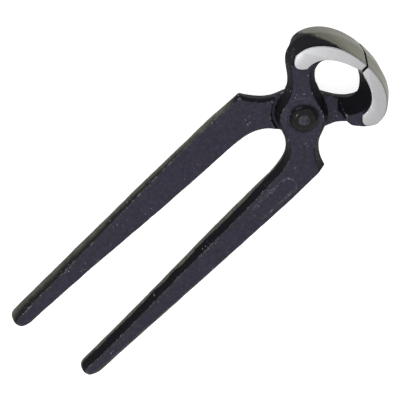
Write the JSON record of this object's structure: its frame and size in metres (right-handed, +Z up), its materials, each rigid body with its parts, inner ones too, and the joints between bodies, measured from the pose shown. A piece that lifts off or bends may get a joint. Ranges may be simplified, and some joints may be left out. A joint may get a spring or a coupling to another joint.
{
  "type": "hoof nipper",
  "caption": "Pincer-type hoof nipper: crossed forged levers on a domed rivet, round claw jaws with ground cutting edges and long tapering lacquered handles.",
  "frame": {"origin": "centre of the closed tool's footprint, on the surface it lies on", "axes": "+Y along the tool towards the jaws, +Z up out of the outer faces along the rivet, +X across the jaws towards the upper lever's handle"},
  "size_m": [0.0676, 0.2528, 0.024],
  "materials": {
    "lever_lacquer": "semi-gloss black lacquer over forging scale, jaws ground bright",
    "rivet_steel": "peened dark steel",
    "washer_black": "glossy black"
  },
  "bodies": {
    "lower_half": {"lower_lever": "lever_lacquer", "pivot_rivet": "rivet_steel", "upper_rivet_washer": "washer_black", "lower_rivet_washer": "washer_black"},
    "upper_half": {"upper_lever": "lever_lacquer"}
  },
  "joints": [
    {"name": "lever_hinge", "type": "hinge", "parent": "lower_half", "child": "upper_half", "pos_m": [0, 0.07955, 0.012], "axis": [0, 0, 1], "range_deg": [0, 25]}
  ]
}
